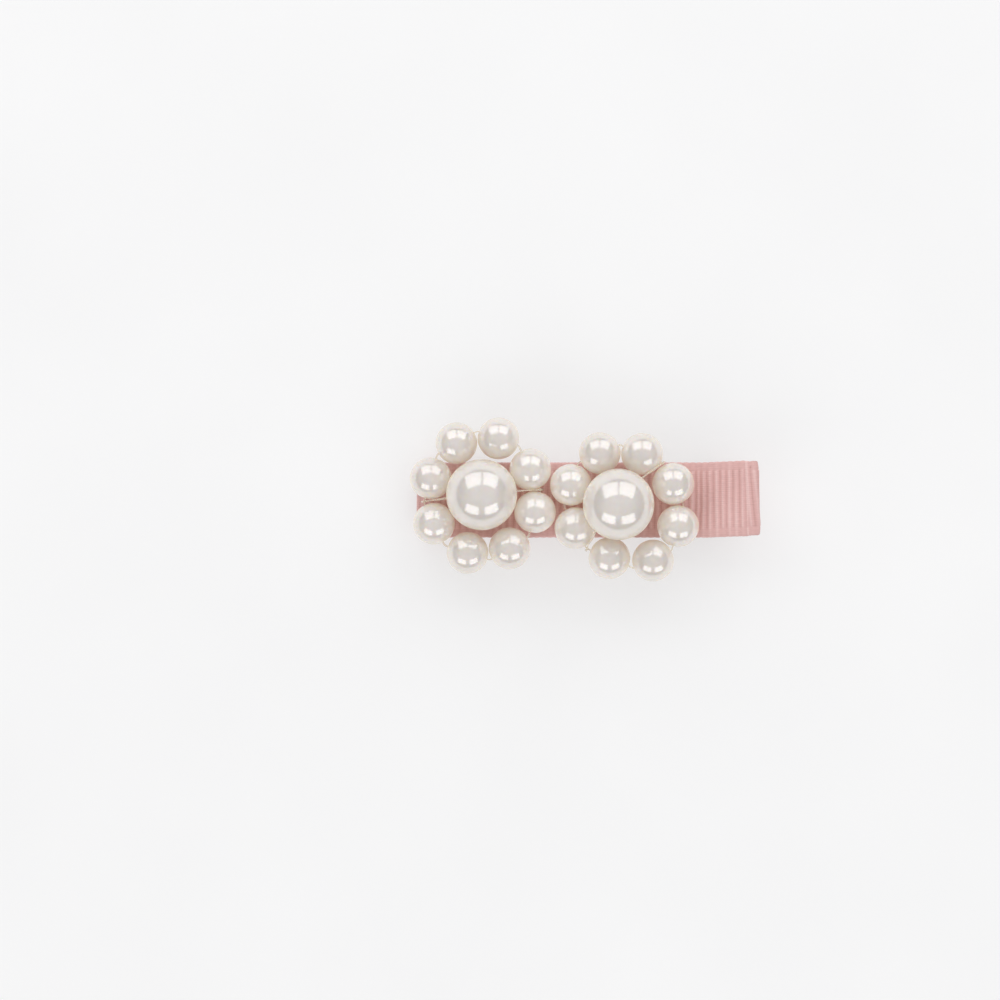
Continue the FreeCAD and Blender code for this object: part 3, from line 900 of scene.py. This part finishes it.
def spring_path():
    """Lower leg, coil and upper leg, closed, about the pivot."""
    tail_under = arm_point(UPPER_TAIL_END, -HALF_SHEET - RIBBON)
    under = tail_under.z + (LEG_REACH - tail_under.x) * math.tan(math.radians(UPPER_BEND_ANGLE))
    upper_angle = leg_angle(under - LEG_GAP, 1) + math.radians(JAW_CLOSE_ANGLE)
    lower_angle = leg_angle(SHEET + LEG_GAP - PIVOT.z, -1)
    start = math.pi / 2 + lower_angle
    sweep = upper_angle - math.pi / 2 + 2 * math.pi * (COIL_FULL_TURNS + 1) - start
    coil = []
    for k in range(COIL_STEPS + 1):
        angle = start + sweep * k / COIL_STEPS
        across = COIL_HALF_LENGTH * (1 - 2 * k / COIL_STEPS)
        coil.append(PIVOT + Vector((math.cos(angle), 0, math.sin(angle))) * COIL_RADIUS
                    + Vector((0, across, 0)))
    leg = math.sqrt(LEG_REACH ** 2 - COIL_RADIUS ** 2)
    lower_way = -coil_way(start, sweep)
    upper_way = coil_way(start + sweep, sweep)
    lower_leg = [coil[0] + lower_way * leg * k / LEG_STEPS for k in range(LEG_STEPS, 0, -1)]
    upper_leg = [coil[-1] + upper_way * leg * k / LEG_STEPS for k in range(1, LEG_STEPS + 1)]
    return lower_leg + coil + upper_leg


def spring(material):
    """The wound spring with the jaw closed, built once and not posed; its real coil twists as the jaw
    opens.
    """
    points, faces = tube(spring_path(), WIRE_RADIUS, WIRE_SIDES)
    piece = make_piece("wound_spring", points, faces, material)
    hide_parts("torsion_spring")
    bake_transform(piece)


# Metal parts as packed


def plate_metal(material):
    """Gives the parts that keep their CAD shape a better material."""
    for node in ("lower_arm", "upper_arm", "pivot_pin"):
        part = frame["nodes"][node]
        for slot in part.material_slots:
            slot.material = material


# Studio


def floor():
    """A plain matt floor, with a glow that keeps it pale in the shade of the clip."""
    half = FLOOR_SIZE / 2 / MM
    points = [Vector((x, y, 0)) * half for x, y in ((-1, -1), (1, -1), (1, 1), (-1, 1))]
    nodes = Nodes("pale_floor")
    nodes.paint(nodes.noise(30.0), (0.3, (0.49, 0.49, 0.49)), (0.7, (0.51, 0.51, 0.51)))
    nodes.set(Roughness=0.9, Specular_IOR_Level=0.1)
    nodes.set(Emission_Color=(1.0, 1.0, 1.0, 1.0), Emission_Strength=0.46)
    piece = make_piece("floor", points, [(0, 1, 2, 3)], nodes.material)


def softbox(name, azimuth, off_vertical, width, height, power):
    """A light that faces the clip, azimuth from +X and angle from straight up in degrees.

    It isn't rolled: its upright edges stay in planes across the clip.
    """
    around = math.radians(azimuth)
    tilt = math.radians(off_vertical)
    level = Vector((math.cos(around), math.sin(around), 0))
    way = level * math.sin(tilt) + UP * math.cos(tilt)
    across = (ALONG - way * way.dot(ALONG)).normalized()
    data = bpy.data.lights.new(name, "AREA")
    data.shape = "RECTANGLE"
    data.size = width
    data.size_y = height
    data.energy = power
    light = bpy.data.objects.new(name, data)
    light.location = way * SOFTBOX_REACH
    light.rotation_mode = "QUATERNION"
    light.rotation_quaternion = Matrix((across, way.cross(across), way)).transposed().to_quaternion()
    bpy.context.scene.collection.objects.link(light)


def room():
    """Even light from all round, stronger from above."""
    world = bpy.data.worlds.new("studio")
    world.use_nodes = True
    tree = world.node_tree
    place = tree.nodes.new("ShaderNodeTexCoord")
    parts = tree.nodes.new("ShaderNodeSeparateXYZ")
    ceiling = tree.nodes.new("ShaderNodeValToRGB")
    ceiling.color_ramp.elements[0].color = (0.24, 0.24, 0.242, 1)
    ceiling.color_ramp.elements[1].color = (0.62, 0.62, 0.63, 1)
    ceiling.color_ramp.interpolation = "EASE"
    tree.links.new(place.outputs["Generated"], parts.inputs["Vector"])
    tree.links.new(parts.outputs["Z"], ceiling.inputs["Fac"])
    tree.links.new(ceiling.outputs["Color"], tree.nodes["Background"].inputs["Color"])
    bpy.context.scene.world = world


def studio():
    """Lights, room and floor, and enough bounces for light to reach between the pearls."""
    for name, (facing, swing, *rest) in SOFTBOXES.items():
        softbox(f"{name}_left", facing * (90 + swing), *rest)
        softbox(f"{name}_right", facing * (90 - swing), *rest)
    room()
    floor()
    bpy.context.scene.view_settings.view_transform = "Standard"
    bpy.context.scene.cycles.diffuse_bounces = 12
    bpy.context.scene.cycles.glossy_bounces = 12
    bpy.context.scene.cycles.max_bounces = 24


def camera():
    """Straight above, with the clip to the right of the middle of the picture."""
    data = bpy.data.cameras.new("camera")
    data.lens = data.sensor_width * CAMERA_HEIGHT / VIEW_WIDTH
    data.clip_start = 0.01
    shot = bpy.data.objects.new("camera", data)
    shot.location = (VIEW_CENTRE_X, 0, CAMERA_HEIGHT)
    bpy.context.scene.collection.objects.link(shot)
    bpy.context.scene.camera = shot


def main():
    camera()
    studio()
    pearl = pearl_material()
    line = line_material()
    glue = glue_material()
    ribbon_cover(ribbon_material())
    for i, flower in enumerate(THREAD_ANGLES):
        seed = i * SEEDS_PER_FLOWER
        flower_beads(flower, pearl, seed)
        flower_lines(flower, line)
        flower_glue(flower, glue, seed)
    spring(wire_material())
    plate_metal(nickel_material())


main()
